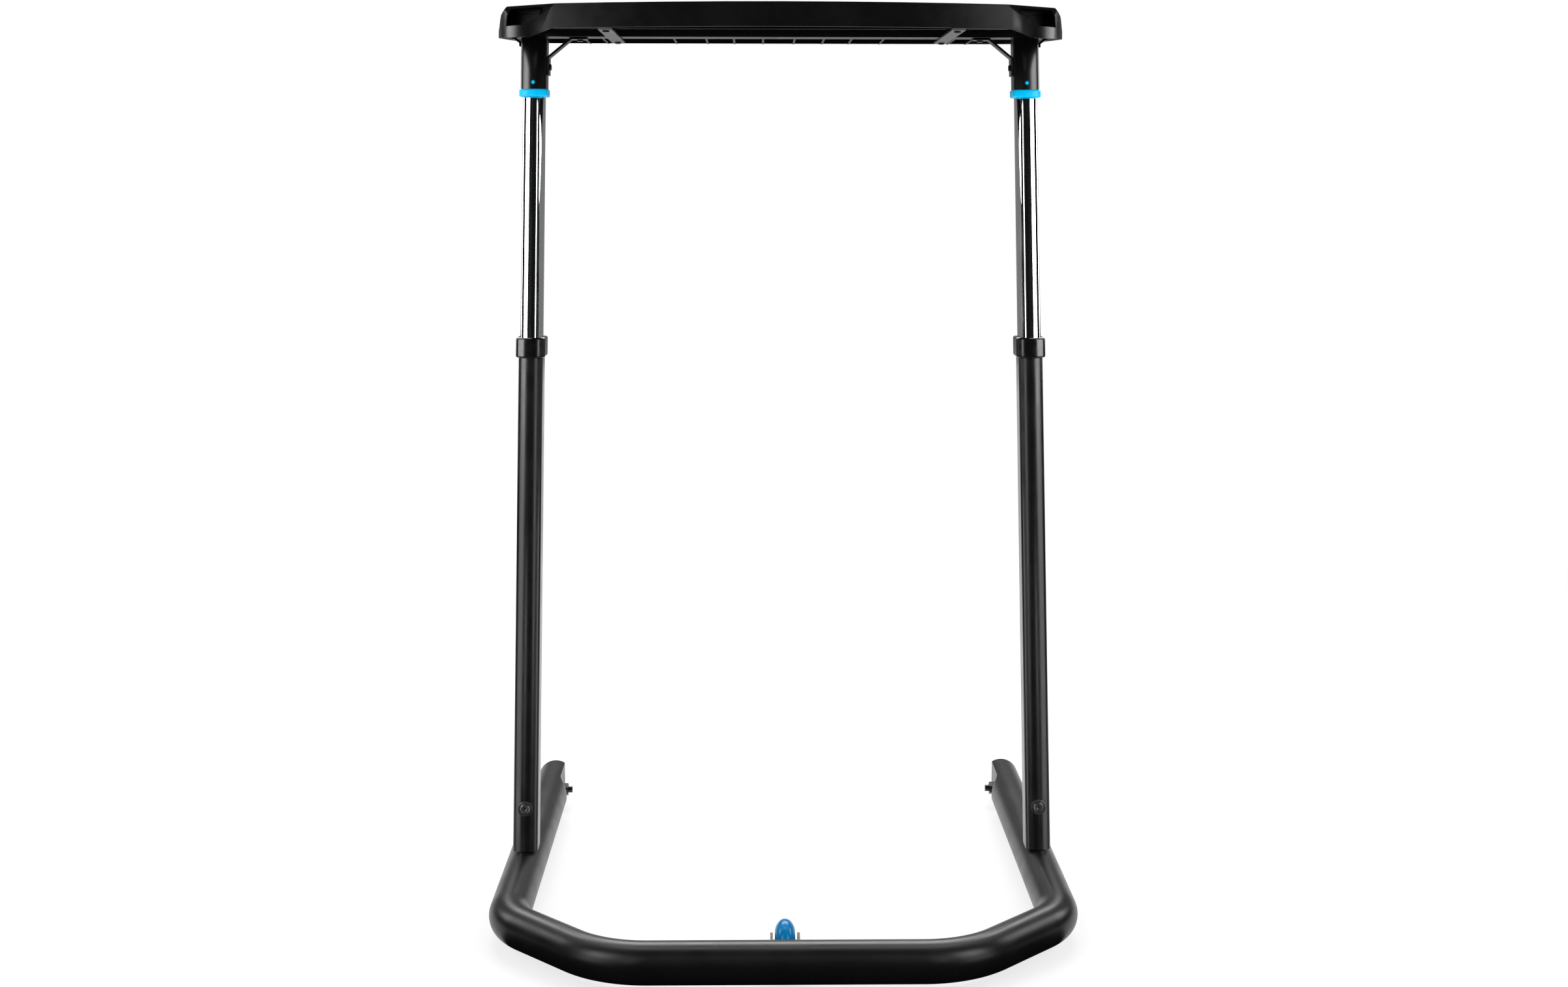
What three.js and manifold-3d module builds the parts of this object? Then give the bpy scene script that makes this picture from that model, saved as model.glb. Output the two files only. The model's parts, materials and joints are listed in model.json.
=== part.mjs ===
// Bike trainer desk: a desk on two telescoping legs over a wheeled U-shaped base.
// Millimetres, +Z up. +Y points back, toward the rider; the closed end of the U is in front.
import * as THREE from 'three';
import Module from 'manifold-3d';

const wasm = await Module();
wasm.setup();
const { Manifold, Mesh: ManifoldMesh } = wasm;

// Driving dimensions
const deg = Math.PI / 180;
const gap = 0.3; // between pieces that are cut round one another
const touch = 0.1; // between faces that bear on one another
const overrun = 4; // how far a cutter passes the face that it opens

// U-shaped base tube, measured on its centre line
const tubeR = 25.4;
const tubeWall = 2;
const tubeAxisZ = 33;
const frontHalf = 212; // half the straight front run, to the first corner of the centre line
const sideX = 338; // half the spacing of the side tubes at the second corner
const sideDraw = 1.5; // how far the rear ends stand in from the second corners
const diagonal = 45 * deg;
const frontBendR = 125;
const sideBendR = 86;
const sideEndY = 706;

// pressed flat on the inner side of each rear end
const flatLength = 100;
const flatDepth = 12;
const flatRun = 62; // stretch next to the end over which the flat keeps its full depth

// plug in each rear end
const endCapT = 3;
const endCapIn = 9;
const endCapEase = 1.5;

// telescoping legs; every section is level, and the leg leans back as it rises
const lean = 14 * deg;
const legInset = 2; // leg's middle inside the side tube's
const legFootY = 307; // leg centre line where it would meet the floor
const legW = 32.4;
const legD = 40;
const legBow = 5; // how far the front and back bow beyond the flat sides
const legFillet = 3;
const legWall = 1.5;
const legTopZ = 713;
const slideGap = 0.4; // all round, between the moving tube and the leg
const chromeWall = 1.8;
const sleeveWall = 2.85;
const sleeveGap = 0.3;
const sleeveH = 78; // sleeve below the beam

// collar on each leg's top
const collarOver = 3.4; // how far it stands proud of the leg
const collarH = 26.6;
const collarLip = 4; // material above the leg's top edge
const collarFillet = 2.4;
const collarGap = 0.6;

// guide plug in the moving tube's lower end
const plugH = 46;
const plugFlange = 4;
const plugOver = 0.2; // flange beyond the tube, on each side
const plugWall = 3;
const engaged = 142; // height of moving tube inside the leg, at rest

// ring on the sleeve's lower end
const ringH = 10.4;
const ringOver = 1.8;
const ringLip = 3; // material below the sleeve's end
const ringFillet = 1.2;

// spigot and cross bolt that hold each leg on the base
const spigotTopZ = 150;
const spigotGap = 0.4;
const spigotWall = 3;
const legBoltZ = 108;
const legBoltR = 4;
const legBoltReach = 14; // shank behind the leg's front
const legBoltHeadR = 7.2;
const legBoltHeadH = 4.4;
const legBoltHeadEase = 1.8;
const legBoltSocketR = 2.5;
const legBoltSocketFloor = 2;
const washerR = 9.8;
const washerH = 1.6;
const washerDish = 3; // stock behind the washer's rim, dished to the leg
const legNutR = 7;
const legNutT = 6;
const legNutSeat = 2; // nut behind the spigot's bowed wall

// snap buttons
const buttonRise = 12; // button above the sleeve's lower end
const buttonR = 2.95;
const buttonHoleR = 3.4;
const buttonDome = 1;
const buttonDomeDraw = 1.1;
const buttonFlangeR = 5;
const buttonFlangeH = 1.6;
const buttonFlangeClear = 1; // flange behind the bore's flat wall
const buttonRecess = 0.6; // pin's face behind the sleeve's face
const leafT = 0.8;
const leafW = 8;
const leafRise = 40;
const leafClear = 1.2; // leaf ahead of the bore's back wall
const leafBend = 2; // half the width of the bend

// wheels
const frontWheelR = 30;
const frontWheelW = 24;
const frontWheelY = 60;
const frontHubR = 16;
const axleR = 3;
const axleGap = 0.25;
const rearWheelR = 26;
const rearWheelW = 20;
const rearWheelInset = 41; // wheel centre ahead of the tube's end
const rearHubR = 14;
const rearAxleR = 5;
const rearBossR = 10.5;
const rearHeadR = 8;
const rearHeadH = 3.6;
const rearHeadEase = 1.4;
const rearSocketR = 3;
const rearSocketFloor = 1.4;
const wheelSlot = 26; // width of the slot below each rear wheel
const wheelClear = 4; // slot beyond the wheel, fore and aft
const hubPlay = 0.4; // on each side of a hub
const hubInset = 1.5; // hub's end inside the tyre's side
const hubBossWall = 3.5;
const hubRimWall = 2;
const hubWebInset = 2.2; // web's face inside the hub's end
const hubEase = 1;
const tyreShoulder = 3;
const tyreEase = 2;
const spacerWall = 3;

// front wheel's bracket
const earT = 3;
const earGap = 29; // between the two ears
const earRound = 14;
const webH = 30;
const webStep = 3; // web's top below the ears' root
const webStartShare = 0.55; // of the tube's radius
const webReachShare = 0.9; // of the plate's thickness, behind the tube
const frontHeadR = 5.6;
const frontHeadH = 4;
const frontNut = { across: 10, thick: 6 };
const rearNut = { across: 17, thick: 9 };
const frontTip = 2; // bolt's end past its nut
const rearTip = 6;

// desk tray
const trayTopZ = 1150;
const trayH = 31; // fascia, from the rim's top to its lower edge
const rimLift = 2.5; // rim above the deck
const trayFrontY = 371;
const trayDepth = 480;
const trayOverhang = 38; // tray's side outside the side tubes
const frontBow = 40; // how far the front edge has swept back where the lobes start
const lobeW = 80; // lobe's start inside the tray's side
const cornerPull = [2, 72]; // control point of the swept corner, outside the side and behind the front
const sideStart = 150; // the side wall is straight from here back
const rearCornerR = 52;
const deckT = 4;
const rimT = 4;
const rimStep = 9; // width of the rim's top
const crownIns = [0, 4, 8, 17.5]; // the side's outer face, inside its full width
const crownDrops = [34, 25, 10, 0]; // and below the rim's top
const slantFrom = [7, 38]; // slanted corner's top edge: inside the lobe's start, behind the front
const slantTo = [18, 90]; // inside the side, behind the front
const slantFoot = [34, 53, 28]; // a lower point: outside the lobe's start, behind the front, down
const slantReach = 160;
const ribT = 3;
const ribRise = 9; // ribs' lower edge above the fascia's
const middleRibXs = [22.9, 65.5, 105.5, 152];
const outerRibIns = [41, 14]; // inside the lobe's start
const crossRibIn = 77; // behind the front edge
const crossRibRise = 2;
const lobeDrop = 9.6; // lobes reach this far below the fascia
const lobeEase = 28; // width of the slope between fascia and lobe
const lobeRun = 69; // the lower edge is level this far back, and then rises in one slope
const rearRise = 10; // rear rim above the fascia's lower edge
const bossR = 7;

// grip pocket in each lobe, as three levels below the rim's top
const pocketDrops = [3.6, 12, 25.5];
const pocketStarts = [10.6, 12, 38.5]; // inner end, outside the lobe's start
const pocketEnds = [23.3, 18, 16.4]; // outer end, inside the side
const pocketDepth = 137; // behind the front edge
const pocketWall = 3;

// mat
const matT = 2;
const matGap = 1;

// carriers under the tray
const beamW = 40;
const beamH = 13;
const beamWall = 2;
const beamEndClear = 10; // beam's end inside the tray's side
const strapInset = 110; // strap's middle inside the leg's
const strapW = 18;
const strapT = 3;
const strapEnd = 18; // strap past its screw
const strapScrewIns = [41, 261]; // behind the front edge
const braceW = 24;
const braceT = 3;
const braceSize = { flange: 22, across: 31, drop: 26, foot: 24.4 };
const gussetSize = { across: 8, drop: 6, foot: 5 };
const flangeScrewShare = 0.6; // along the flange, from the bend
const footScrewShare = 0.6;
const screwR = 2.4;
const screwHeadR = 4.6;
const screwHeadH = 2.4;
const screwHeadEase = 1;
const screwTip = 2;
const strapScrewL = 15;
const screwBite = 14; // pilot hole in the boss

// how finely round forms are cut
const steps = 3;
const tubeSides = 20;
const bendSteps = 4;
const wheelSides = 20;
const crownSteps = 4;
const smallSides = 12;
const planSteps = { front: 4, lobe: 10, rear: 6 }; // each curve of the tray's plan

// Sizes that follow
const legX = sideX - legInset;
const rearSideX = sideX - sideDraw;
const trayHalfW = sideX + trayOverhang;
const lobeX = trayHalfW - lobeW;
const ribXs = [...middleRibXs, ...outerRibIns.map((inset) => lobeX - inset)];
const strapX = legX - strapInset;
const legSlope = Math.tan(lean);
const legInW = legW - 2 * legWall;
const legInD = legD - 2 * legWall;
const chromeW = legInW - 2 * slideGap;
const chromeD = legInD - 2 * slideGap;
const boreW = chromeW - 2 * chromeWall;
const boreD = chromeD - 2 * chromeWall;
const sleeveInW = chromeW + 2 * sleeveGap;
const sleeveInD = chromeD + 2 * sleeveGap;
const sleeveW = sleeveInW + 2 * sleeveWall;
const sleeveD = sleeveInD + 2 * sleeveWall;
const legFootZ = tubeAxisZ + tubeR + gap;
const trayBottomZ = trayTopZ - trayH;
const beamZ = trayBottomZ;
const beamHalf = trayHalfW - beamEndClear;
const chromeZ = legTopZ - engaged;
const sleeveZ = beamZ - sleeveH;
const ringZ = sleeveZ - ringLip;
const buttonZ = sleeveZ + buttonRise;
const legY = (z) => legFootY + legSlope * z;
const beamY = legY(beamZ);

// Booleans and basic solids
const solid = (geometry) => {
  const position = geometry.getAttribute('position');
  const seen = new Map();
  const points = [];
  const lookup = [];
  const grid = 1e4;
  for (let i = 0; i < position.count; i += 1) {
    const p = [position.getX(i), position.getY(i), position.getZ(i)];
    const key = p.map((value) => Math.round(value * grid)).join();
    if (!seen.has(key)) {
      seen.set(key, seen.size);
      points.push(...p);
    }
    lookup.push(seen.get(key));
  }
  const corners = geometry.index ? Array.from(geometry.index.array) : lookup.map((_, i) => i);
  const triangles = [];
  for (let i = 0; i < corners.length; i += 3) {
    const [a, b, c] = corners.slice(i, i + 3).map((corner) => lookup[corner]);
    if (a !== b && b !== c && c !== a) triangles.push(a, b, c);
  }
  return new Manifold(new ManifoldMesh({
    numProp: 3,
    vertProperties: new Float32Array(points),
    triVerts: new Uint32Array(triangles),
  }));
};

const geometryOf = (body) => {
  const mesh = body.getMesh();
  const geometry = new THREE.BufferGeometry();
  geometry.setAttribute('position', new THREE.BufferAttribute(mesh.vertProperties, 3));
  geometry.setIndex(new THREE.BufferAttribute(mesh.triVerts, 1));
  const facets = geometry.toNonIndexed();
  facets.computeVertexNormals();
  return facets;
};

const cut = (body, ...tools) => tools.reduce((rest, tool) => rest.subtract(tool), body);
const join = (body, ...more) => more.reduce((whole, piece) => whole.add(piece), body);

const box = ([x0, x1], [y0, y1], [z0, z1]) => {
  const geometry = new THREE.BoxGeometry(x1 - x0, y1 - y0, z1 - z0);
  return solid(geometry.translate((x0 + x1) / 2, (y0 + y1) / 2, (z0 + z1) / 2));
};

const outline = (points) => new THREE.Shape(points.map(([u, v]) => new THREE.Vector2(u, v)));

// a profile pulled along z
const pulled = (shape, depth, curveSegments) => new THREE.ExtrudeGeometry(shape, {
  depth,
  bevelEnabled: false,
  curveSegments,
});

// a profile drawn in (y, z), pulled along x
const profileX = (shape, [x0, x1]) => {
  const toYZ = new THREE.Matrix4().set(0, 0, 1, x0, 1, 0, 0, 0, 0, 1, 0, 0, 0, 0, 0, 1);
  return solid(pulled(shape, x1 - x0, 2 * steps).applyMatrix4(toYZ));
};

// a profile drawn in (x, z), pulled along y
const profileY = (shape, [y0, y1]) => {
  const toXZ = new THREE.Matrix4().set(1, 0, 0, 0, 0, 0, -1, y1, 0, 1, 0, 0, 0, 0, 0, 1);
  return solid(pulled(shape, y1 - y0, 2 * steps).applyMatrix4(toXZ));
};

const profileZ = (shape, [z0, z1]) => solid(pulled(shape, z1 - z0, 2 * steps).translate(0, 0, z0));

// a turned profile of [radius, height] points; the height runs along the named axis
const turned = (axis, points, at, sides = tubeSides) => {
  const geometry = new THREE.LatheGeometry(points.map(([r, h]) => new THREE.Vector2(r, h)), sides);
  if (axis === 'x') geometry.rotateZ(-Math.PI / 2);
  if (axis === 'z') geometry.rotateX(Math.PI / 2);
  return solid(geometry.translate(...at));
};

// a round bar along an axis, from one end to the other
const bar = (axis, radius, [from, to], at, sides = tubeSides) => (
  turned(axis, [[0, from], [radius, from], [radius, to], [0, to]], at, sides)
);

// a hexagonal bar, by the width across its flats
const hexBar = (axis, across, span, at) => bar(axis, across / Math.sqrt(3), span, at, 6);

const mirrored = (body) => body.mirror([1, 0, 0]);
const bothSides = (bodies) => [...bodies, ...bodies.map(mirrored)];

// Nodes
const deskStand = new THREE.Group();
deskStand.name = 'bike_trainer_desk';

const finish = {
  powderCoat: { color: 0x141416, roughness: 0.45, metalness: 0.35 },
  glossBlack: { color: 0x0b0b0c, roughness: 0.22, metalness: 0 },
  matteBlack: { color: 0x121213, roughness: 0.68, metalness: 0 },
  greySteel: { color: 0x4a4b4d, roughness: 0.5, metalness: 0.4 },
  chrome: { color: 0xd9dbdd, roughness: 0.08, metalness: 1 },
  blue: { color: 0x0a96e0, roughness: 0.3, metalness: 0 },
  zinc: { color: 0x8b8a84, roughness: 0.4, metalness: 0.9 },
  blackOxide: { color: 0x1c1c1e, roughness: 0.4, metalness: 0.7 },
  rubber: { color: 0x19191a, roughness: 0.9, metalness: 0 },
};

const place = (name, body, look) => {
  const mesh = new THREE.Mesh(geometryOf(body), new THREE.MeshStandardMaterial(finish[look]));
  mesh.name = name;
  deskStand.add(mesh);
};

// the same piece on both sides, left and right as seen from the front
const placePair = (name, body, look) => {
  place(`right_${name}`, body, look);
  place(`left_${name}`, mirrored(body), look);
};

// Leg sections
// flat sides, bowed front and back, small fillets between them
const flatOval = (w, d, bow, fillet) => {
  const half = w / 2;
  const flat = d / 2 - bow;
  const radius = (half * half + bow * bow) / (2 * bow);
  const centre = d / 2 - radius;
  const spread = Math.asin((half - fillet) / radius);
  const up = Math.PI / 2;
  const shape = new THREE.Shape();
  shape.moveTo(half, flat - fillet);
  shape.quadraticCurveTo(half, flat, radius * Math.sin(spread), centre + radius * Math.cos(spread));
  shape.absarc(0, centre, radius, up - spread, up + spread, false);
  shape.quadraticCurveTo(-half, flat, -half, flat - fillet);
  shape.lineTo(-half, fillet - flat);
  shape.quadraticCurveTo(-half, -flat, -radius * Math.sin(spread), -centre - radius * Math.cos(spread));
  shape.absarc(0, -centre, radius, -up - spread, spread - up, false);
  shape.quadraticCurveTo(half, -flat, half, fillet - flat);
  shape.closePath();
  return shape;
};

const legShear = new THREE.Matrix4().set(1, 0, 0, legX, 0, 1, legSlope, legFootY, 0, 0, 1, 0, 0, 0, 0, 1);

// a level section carried up the leaning leg
const legPiece = (w, d, [z0, z1], bevel = 0) => {
  const geometry = new THREE.ExtrudeGeometry(flatOval(w, d, legBow, legFillet), {
    depth: z1 - z0 - 2 * bevel,
    bevelEnabled: bevel > 0,
    bevelThickness: bevel,
    bevelSize: bevel,
    bevelOffset: -bevel,
    bevelSegments: 1,
    curveSegments: steps - 1,
  });
  return solid(geometry.translate(0, 0, z0 + bevel).applyMatrix4(legShear));
};

const legTube = (w, d, wall, [z0, z1]) => cut(
  legPiece(w, d, [z0, z1]),
  legPiece(w - 2 * wall, d - 2 * wall, [z0 - overrun, z1 + overrun]),
);

// from the leg's own upright frame, with y square to the leg, to a height on the leg
const onLeg = (body, z) => body.rotate([-lean / deg, 0, 0]).translate([legX, legY(z), z]);
const legAxis = [0, 0, 0];

// Base tube
// the centre line of the right half, as stations with a heading
const baseStations = () => {
  const corners = [
    new THREE.Vector2(0, 0),
    new THREE.Vector2(frontHalf, 0),
    new THREE.Vector2(sideX, (sideX - frontHalf) * Math.tan(diagonal)),
    new THREE.Vector2(rearSideX, sideEndY),
  ];
  const radii = [0, frontBendR, sideBendR];
  const stations = [];
  for (let i = 1; i < corners.length - 1; i += 1) {
    const into = corners[i].clone().sub(corners[i - 1]).normalize();
    const out = corners[i + 1].clone().sub(corners[i]).normalize();
    const a0 = into.angle();
    const turn = out.angle() - a0;
    const setback = radii[i] * Math.tan(turn / 2);
    const start = corners[i].clone().addScaledVector(into, -setback);
    for (let k = 0; k <= bendSteps; k += 1) {
      const a = a0 + turn * k / bendSteps;
      const x = start.x + radii[i] * (Math.sin(a) - Math.sin(a0));
      const y = start.y - radii[i] * (Math.cos(a) - Math.cos(a0));
      stations.push({ x, y, heading: a });
    }
  }
  const last = corners.at(-1);
  const heading = last.clone().sub(corners.at(-2)).angle();
  stations.push({ x: last.x, y: last.y, heading });
  return stations;
};

// a round section carried along the whole U, from the left rear end to the right one
const baseSweep = (radius, past = 0) => {
  const right = baseStations();
  const end = right.at(-1);
  end.x += past * Math.cos(end.heading);
  end.y += past * Math.sin(end.heading);
  const left = right.map(({ x, y, heading }) => ({ x: -x, y, heading: -heading })).reverse();
  const stations = [...left, ...right];
  const points = [];
  const index = [];
  stations.forEach(({ x, y, heading }) => {
    for (let k = 0; k < tubeSides; k += 1) {
      const a = 2 * Math.PI * (k + 1 / 2) / tubeSides;
      const out = radius * Math.cos(a);
      points.push(x + out * Math.sin(heading), y - out * Math.cos(heading), tubeAxisZ + radius * Math.sin(a));
    }
  });
  const ring = (row, k) => row * tubeSides + (k % tubeSides);
  const lastRow = stations.length - 1;
  for (let row = 0; row < lastRow; row += 1) {
    for (let k = 0; k < tubeSides; k += 1) {
      index.push(ring(row, k), ring(row + 1, k), ring(row + 1, k + 1));
      index.push(ring(row, k), ring(row + 1, k + 1), ring(row, k + 1));
    }
  }
  for (let k = 1; k < tubeSides - 1; k += 1) {
    index.push(ring(0, 0), ring(0, k), ring(0, k + 1));
    index.push(ring(lastRow, 0), ring(lastRow, k + 1), ring(lastRow, k));
  }
  const geometry = new THREE.BufferGeometry();
  geometry.setAttribute('position', new THREE.BufferAttribute(new Float32Array(points), 3));
  geometry.setIndex(index);
  return solid(geometry);
};

// what the press took off the inner side of the right rear end, in plan
const pressedAway = (inset) => {
  const inner = rearSideX - tubeR + inset;
  const far = inner - 2 * tubeR;
  return profileZ(outline([
    [far, sideEndY - flatLength],
    [inner, sideEndY - flatLength],
    [inner + flatDepth, sideEndY - flatRun],
    [inner + flatDepth, sideEndY + 2 * overrun],
    [far, sideEndY + 2 * overrun],
  ]), [tubeAxisZ - 2 * tubeR, tubeAxisZ + 2 * tubeR]);
};

// faces between which each rear wheel turns
const rearNutFace = rearSideX - tubeR + flatDepth;
const rearInnerFace = rearNutFace + tubeWall;
const rearOuterFace = rearSideX + tubeR - tubeWall;
const rearSkinX = rearOuterFace + tubeWall / 2;
const rearX = (rearInnerFace + rearOuterFace) / 2;
const rearHubHalf = rearWheelW / 2 - hubInset;
const rearWheelY = sideEndY - rearWheelInset;
const rearAt = [0, rearWheelY, rearWheelR];
const rearCentre = [rearX, rearWheelY, rearWheelR];
const rearSeatX = rearSkinX - rearHeadH;

const spigotW = legInW - 2 * spigotGap;
const spigotD = legInD - 2 * spigotGap;
const legFront = -(legD / 2) * Math.cos(lean);
const legBoltHole = () => onLeg(bar('y', legBoltR + axleGap, [2 * legFront, 0], legAxis), legBoltZ);

const baseFrame = () => {
  const outer = cut(baseSweep(tubeR), ...bothSides([pressedAway(0)]));
  const bore = cut(baseSweep(tubeR - tubeWall, overrun), ...bothSides([pressedAway(tubeWall)]));
  const spigot = cut(
    legPiece(spigotW, spigotD, [tubeAxisZ, spigotTopZ]),
    legPiece(spigotW - 2 * spigotWall, spigotD - 2 * spigotWall, [legFootZ, spigotTopZ + overrun]),
    baseSweep(tubeR - tubeWall / 2, overrun),
    legBoltHole(),
  );
  const boss = bar('x', rearBossR, [rearX + rearHubHalf + hubPlay, rearSkinX], rearAt);
  const slotHalf = rearWheelR + wheelClear;
  const slot = box(
    [rearX - wheelSlot / 2, rearX + wheelSlot / 2],
    [rearWheelY - slotHalf, rearWheelY + slotHalf],
    [-overrun, tubeAxisZ - rearWheelR / 2],
  );
  const axleHole = bar('x', rearAxleR + axleGap, [rearInnerFace - tubeR, rearOuterFace + tubeR], rearAt);
  const headSeat = bar('x', rearHeadR + gap, [rearSeatX, rearSeatX + tubeR], rearAt);
  const shell = cut(join(cut(outer, bore), ...bothSides([spigot])), ...bothSides([slot]));
  return cut(join(shell, ...bothSides([boss])), ...bothSides([axleHole, headSeat]));
};

const endCap = () => {
  const at = [rearSideX, sideEndY + gap / 2, tubeAxisZ];
  const lidR = tubeR - gap;
  const lid = turned('y', [[0, 0], [lidR, 0], [lidR - endCapEase, endCapT], [0, endCapT]], at);
  const plug = bar('y', tubeR - tubeWall - 2 * gap, [-endCapIn, 0], at);
  return join(cut(lid, pressedAway(gap)), cut(plug, pressedAway(tubeWall + 2 * gap)));
};

// Wheels
const tyre = (radius, width, core, at) => {
  const half = width / 2;
  const shoulder = core + tyreShoulder;
  const points = [[core, tyreEase - half], [shoulder, -half]];
  for (let k = 1; k < crownSteps; k += 1) {
    const a = Math.PI * (k / crownSteps - 1 / 2);
    points.push([shoulder + (radius - shoulder) * Math.cos(a), half * Math.sin(a)]);
  }
  points.push([shoulder, half], [core, half - tyreEase], [core, tyreEase - half]);
  return turned('x', points, at, wheelSides);
};

const hub = (core, half, bore, at) => {
  const web = half - hubWebInset;
  const rim = core - touch / 2;
  const boss = bore + hubBossWall;
  return turned('x', [
    [bore, -half], [boss, -half], [boss, -web], [rim - hubRimWall, -web], [rim, hubEase - half],
    [rim, half - hubEase], [rim - hubRimWall, web], [boss, web], [boss, half], [bore, half], [bore, -half],
  ], at, wheelSides);
};

// Wheel fasteners
const frontAt = [0, frontWheelY, frontWheelR];
const frontHubHalf = frontWheelW / 2 - hubInset;
const earFace = earGap / 2 + earT;

const nutX = ({ across, thick }, bore, face, at) => cut(
  hexBar('x', across, [face - thick, face], at),
  bar('x', bore, [face - thick - overrun, face + overrun], at, smallSides),
);

const spacer = (radius, span, at) => {
  const [from, to] = span;
  return cut(
    bar('x', radius + spacerWall, span, at, smallSides),
    bar('x', radius + touch, [from - overrun, to + overrun], at, smallSides),
  );
};

const frontAxle = () => join(
  bar('x', axleR, [-earFace - frontNut.thick - frontTip, earFace], frontAt, smallSides),
  bar('x', frontHeadR, [earFace, earFace + frontHeadH], frontAt, 6),
);

const rearAxle = () => {
  const tip = rearNutFace - rearNut.thick - rearTip;
  const top = rearSeatX + rearHeadH;
  const bolt = turned('x', [
    [0, tip], [rearAxleR, tip], [rearAxleR, rearSeatX], [rearHeadR, rearSeatX],
    [rearHeadR - rearHeadEase, top], [0, top],
  ], rearAt, smallSides);
  return cut(bolt, bar('x', rearSocketR, [rearSeatX + rearSocketFloor, top + overrun], rearAt, 6));
};

const frontBracket = () => {
  const y0 = tubeR * webStartShare;
  const low = tubeAxisZ - webH / 2;
  const high = tubeAxisZ + webH / 2 - webStep;
  const ear = new THREE.Shape();
  ear.moveTo(y0, low);
  ear.lineTo(frontWheelY, frontWheelR - earRound);
  ear.absarc(frontWheelY, frontWheelR, earRound, -Math.PI / 2, Math.PI / 2, false);
  ear.lineTo(y0, high);
  ear.closePath();
  const right = profileX(ear, [earGap / 2, earFace]);
  const webHalf = earGap / 2 + earT / 2;
  const web = box([-webHalf, webHalf], [y0, tubeR + earT * webReachShare], [low, high]);
  const axleHole = bar('x', axleR + touch, [-earGap, earGap], frontAt, smallSides);
  return cut(join(web, ...bothSides([right])), baseSweep(tubeR + touch), axleHole);
};

// Legs
const lowerLeg = () => cut(legTube(legW, legD, legWall, [legFootZ, legTopZ]), legBoltHole());

const legBolt = () => {
  const seat = legFront - washerH;
  const face = seat - legBoltHeadH;
  const tip = legFront + legBoltReach;
  const bolt = turned('y', [
    [0, face], [legBoltHeadR - legBoltHeadEase, face], [legBoltHeadR, seat],
    [legBoltR, seat], [legBoltR, tip], [0, tip],
  ], legAxis);
  const socket = bar('y', legBoltSocketR, [face - overrun, seat - legBoltSocketFloor], legAxis, 6);
  return onLeg(cut(bolt, socket), legBoltZ);
};

// the washer's back is dished to sit on the bowed front of the leg
const legWasher = () => cut(
  onLeg(cut(
    bar('y', washerR, [legFront - washerH, legFront + washerDish], legAxis),
    bar('y', legBoltR + touch, [2 * legFront, 0], legAxis),
  ), legBoltZ),
  legPiece(legW, legD, [legFootZ - tubeR, legTopZ]),
);

const legNut = () => {
  const seat = legNutSeat - (spigotD / 2 - spigotWall) * Math.cos(lean);
  return onLeg(cut(
    bar('y', legNutR, [seat, seat + legNutT], legAxis, 6),
    bar('y', legBoltR + touch, [2 * legFront, -legFront], legAxis),
  ), legBoltZ);
};

const legCollar = () => {
  const top = legTopZ + collarLip;
  const low = top - collarH;
  return cut(
    legPiece(legW + 2 * collarOver, legD + 2 * collarOver, [low, top], collarFillet),
    legPiece(legW + touch, legD + touch, [low - overrun, legTopZ]),
    legPiece(chromeW + collarGap, chromeD + collarGap, [low, top + overrun]),
  );
};

const buttonHole = () => onLeg(bar('y', buttonHoleR, [-sleeveD, 0], legAxis), buttonZ);

const guidePlug = () => {
  const low = chromeZ - plugFlange;
  const top = low + plugH;
  const inW = boreW - gap;
  const inD = boreD - gap;
  return cut(
    join(
      legPiece(chromeW + 2 * plugOver, chromeD + 2 * plugOver, [low, chromeZ]),
      legPiece(inW, inD, [chromeZ - plugFlange / 2, top]),
    ),
    legPiece(inW - 2 * plugWall, inD - 2 * plugWall, [low - overrun, top + overrun]),
  );
};

const blueRing = () => {
  const top = ringZ + ringH;
  return cut(
    legPiece(sleeveW + 2 * ringOver, sleeveD + 2 * ringOver, [ringZ, top], ringFillet),
    legPiece(sleeveW + touch, sleeveD + touch, [sleeveZ, top + overrun]),
    legPiece(chromeW + gap, chromeD + gap, [ringZ - overrun, top + overrun]),
  );
};

const buttonFront = buttonRecess - (sleeveD / 2) * Math.cos(lean);
const buttonSeat = buttonFlangeClear - (boreD / 2) * Math.cos(lean);
const buttonBack = buttonSeat + buttonFlangeH;
const snapButton = () => onLeg(turned('y', [
  [0, buttonFront], [buttonR - buttonDomeDraw, buttonFront], [buttonR, buttonFront + buttonDome],
  [buttonR, buttonSeat], [buttonFlangeR, buttonSeat], [buttonFlangeR, buttonBack], [0, buttonBack],
], legAxis, wheelSides), buttonZ);

// bent strip of even thickness through points in a plane
const strip = (points, thickness) => {
  const side = (sign) => points.map(([u, v], i) => {
    const [a, b] = [points[Math.max(i - 1, 0)], points[Math.min(i + 1, points.length - 1)]];
    const before = new THREE.Vector2(u - a[0], v - a[1]).normalize();
    const after = new THREE.Vector2(b[0] - u, b[1] - v).normalize();
    const along = before.add(after).normalize();
    const next = i < points.length - 1 ? after : along;
    const reach = sign * thickness / 2 / Math.abs(along.dot(next) || 1);
    return [u - along.y * reach, v + along.x * reach];
  });
  return outline([...side(1), ...side(-1).reverse()]);
};

const buttonSpring = () => {
  const front = buttonBack + leafT / 2 + touch;
  const back = (boreD / 2) * Math.cos(lean) - leafClear;
  const bend = (front + back) / 2;
  const leaf = strip([
    [front, -leafW], [front, leafW], [bend - leafBend, leafRise - leafBend], [bend, leafRise],
    [bend + leafBend, leafRise - leafBend], [back, 0], [back, -2 * leafW],
  ], leafT);
  return onLeg(profileX(leaf, [-leafW / 2, leafW / 2]), buttonZ);
};

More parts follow.
